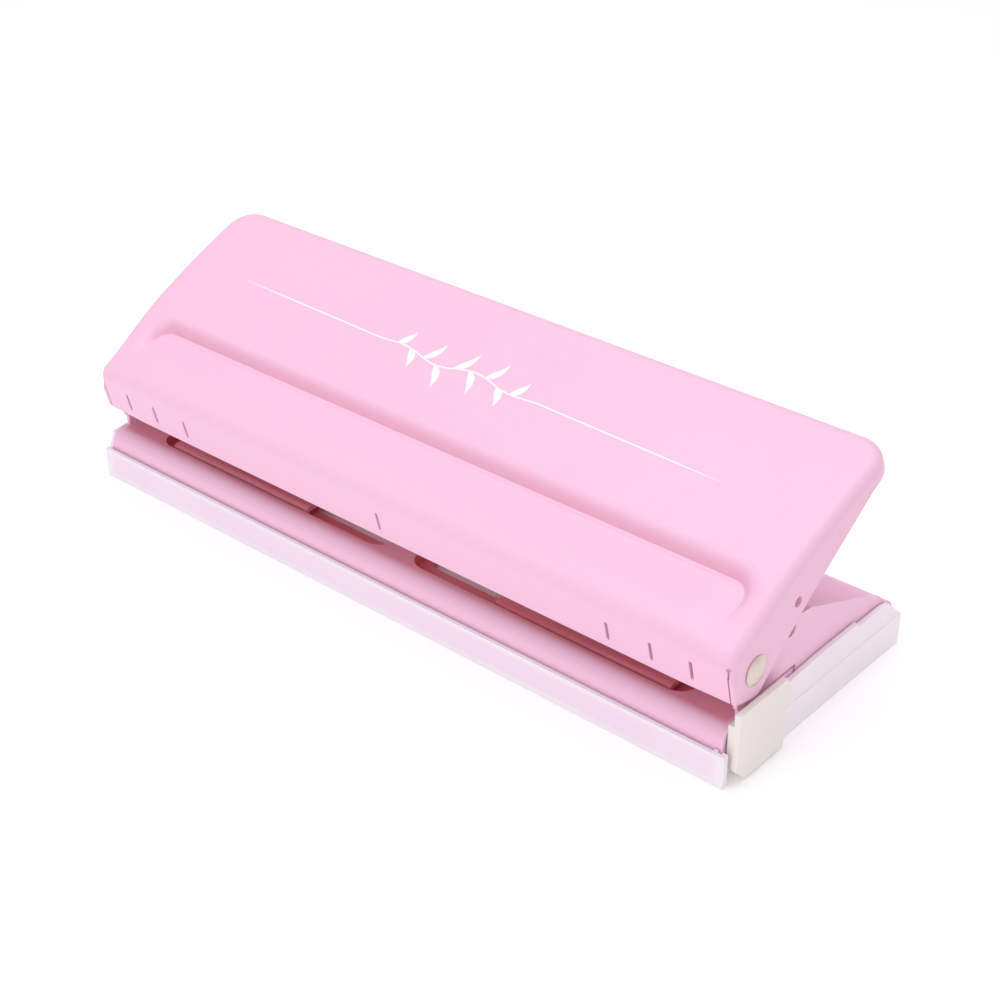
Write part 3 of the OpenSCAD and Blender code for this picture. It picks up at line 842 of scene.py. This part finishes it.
def stem_path():
    """A thin line with a soft wave in its middle, as (x, s) pairs."""
    (left, s_left), (right, s_right) = STEM_LEFT, STEM_RIGHT
    points = []
    for i in range(STEM_STEPS + 1):
        x = left + (right - left) * i / STEM_STEPS
        s = s_left + (s_right - s_left) * i / STEM_STEPS
        from_middle = x - WAVE_MIDDLE
        swell = max(0.0, 1 - (from_middle / WAVE_HALF) ** 2) ** 1.5
        points.append((x, s + WAVE_HEIGHT * swell * math.sin(2 * math.pi * from_middle / WAVE_LENGTH)))
    return points


def ribbon(path, widths):
    """Left and right edges of a stroke along path."""
    left, right = [], []
    for i, (x, s) in enumerate(path):
        ax, bx = path[max(0, i - 1)], path[min(len(path) - 1, i + 1)]
        along = Vector((bx[0] - ax[0], bx[1] - ax[1])).normalized()
        left.append((x - along.y * widths[i], s + along.x * widths[i]))
        right.append((x + along.y * widths[i], s - along.x * widths[i]))
    return left, right


def leaf_path(root, angle, length, bow):
    """Midline of a leaf that leaves root at an angle and bows to one side."""
    points = []
    for i in range(LEAF_STEPS + 1):
        t = i / LEAF_STEPS
        turned = angle + bow * t
        points.append((root[0] + length * t * math.cos(turned), root[1] + length * t * math.sin(turned)))
    return points


def add_stroke(name, strokes):
    """Strokes of ink as one closed piece that follows the plate and stands a little proud of it."""
    verts, faces = [], []
    for path, widths in strokes:
        left, right = ribbon(path, widths)
        start = len(verts)
        for a, b in zip(left, right):
            for u, v in (a, b):
                level = plate_level(u, v)
                verts.append(handle_point(u, v, level + INK_RISE))
                verts.append(handle_point(u, v, level - INK_SINK))
        for i in range(len(path) - 1):
            a, b = start + 4 * i, start + 4 * i + 4
            faces += [(a, a + 2, b + 2, b), (a + 1, b + 1, b + 3, a + 3), (a, b, b + 1, a + 1),
                      (a + 2, a + 3, b + 3, b + 2)]
        last = start + 4 * (len(path) - 1)
        faces += [(start, start + 1, start + 3, start + 2), (last, last + 2, last + 3, last + 1)]
    piece = add_piece(name, verts, faces, INK, "handle")
    smooth_by_angle(piece, INK_SHARP_ANGLE)


def build_print():
    """The printed decoration: a long stem with a sprig of leaves in its middle."""
    stem = stem_path()
    last = len(stem) - 1
    stem_widths = [STEM_HALF_WIDTH * min(1.0, STEM_TIP + min(i, last - i) / STEM_TAPER_STEPS)
                   for i in range(last + 1)]
    add_stroke("printed_stem", [(stem, stem_widths)])
    leaf_widths = [LEAF_TIP + LEAF_SWELL * math.sin(math.pi * (i / LEAF_STEPS) ** 0.8) ** 1.2
                   for i in range(LEAF_STEPS + 1)]
    leaves = []
    for k in range(LEAVES):
        root = stem[int(last * (FIRST_LEAF + LEAF_PITCH * k))]
        up = 1 if k % 2 == 0 else -1
        length = LEAF_LENGTH - LEAF_SHRINK * abs(k - LEAVES // 2)
        leaves.append((leaf_path(root, up * LEAF_ANGLE, length, up * LEAF_BOW), leaf_widths))
    add_stroke("printed_leaves", leaves)


# ---------------------------------------------------------------- return springs

SPRING_COUNT = 6
WIRE = 0.7
# Turns in all, turns closed at each end, and the mesh's steps along a turn and round the wire
TURNS, CLOSED_TURNS = 5.5, 0.75
STEPS_PER_TURN, STEPS_AROUND = 24, 8
SPRING_SHARP_ANGLE = 60


def build_spring(index):
    """A compression spring of round wire with closed ends, in the place of its envelope."""
    node = f"return_spring_{index}"
    low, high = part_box(node)
    wire = WIRE * MM
    axis = Vector(((low[0] + high[0]) / 2, (low[1] + high[1]) / 2, 0))
    radius = (high[0] - low[0] - wire) / 2
    bottom, top = low[2] + wire / 2, high[2] - wire / 2
    around = STEPS_AROUND
    steps = int(TURNS * STEPS_PER_TURN)
    free = top - bottom - 2 * CLOSED_TURNS * wire
    verts, faces = [], []
    for i in range(steps + 1):
        turn = i / STEPS_PER_TURN
        open_share = (turn - CLOSED_TURNS) / (TURNS - 2 * CLOSED_TURNS)
        rise = wire * min(turn, CLOSED_TURNS) + wire * max(0.0, turn - (TURNS - CLOSED_TURNS))
        height = bottom + rise + free * clamp(open_share)
        angle = 2 * math.pi * turn
        out = Vector((math.cos(angle), math.sin(angle), 0))
        centre = axis + out * radius + Vector((0, 0, height))
        for k in range(around):
            roll = 2 * math.pi * k / around
            upwards = Vector((0, 0, wire / 2 * math.sin(roll)))
            verts.append(centre + out * (wire / 2 * math.cos(roll)) + upwards)
    for i in range(steps):
        for k in range(around):
            a, b = i * around + k, i * around + (k + 1) % around
            faces.append((a, b, b + around, a + around))
    faces.append(tuple(range(around)))
    faces.append(tuple(range(steps * around, (steps + 1) * around)))
    spring = add_piece(f"coil_spring_{index}", verts, faces, SPRING, "base")
    smooth_by_angle(spring, SPRING_SHARP_ANGLE)
    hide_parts(node)
    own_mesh(spring)


# ---------------------------------------------------------------- making

add_camera()
add_studio()
add_floor()
finish_cad_nodes()
build_handle()
build_print()
for spring_index in range(1, SPRING_COUNT + 1):
    build_spring(spring_index)
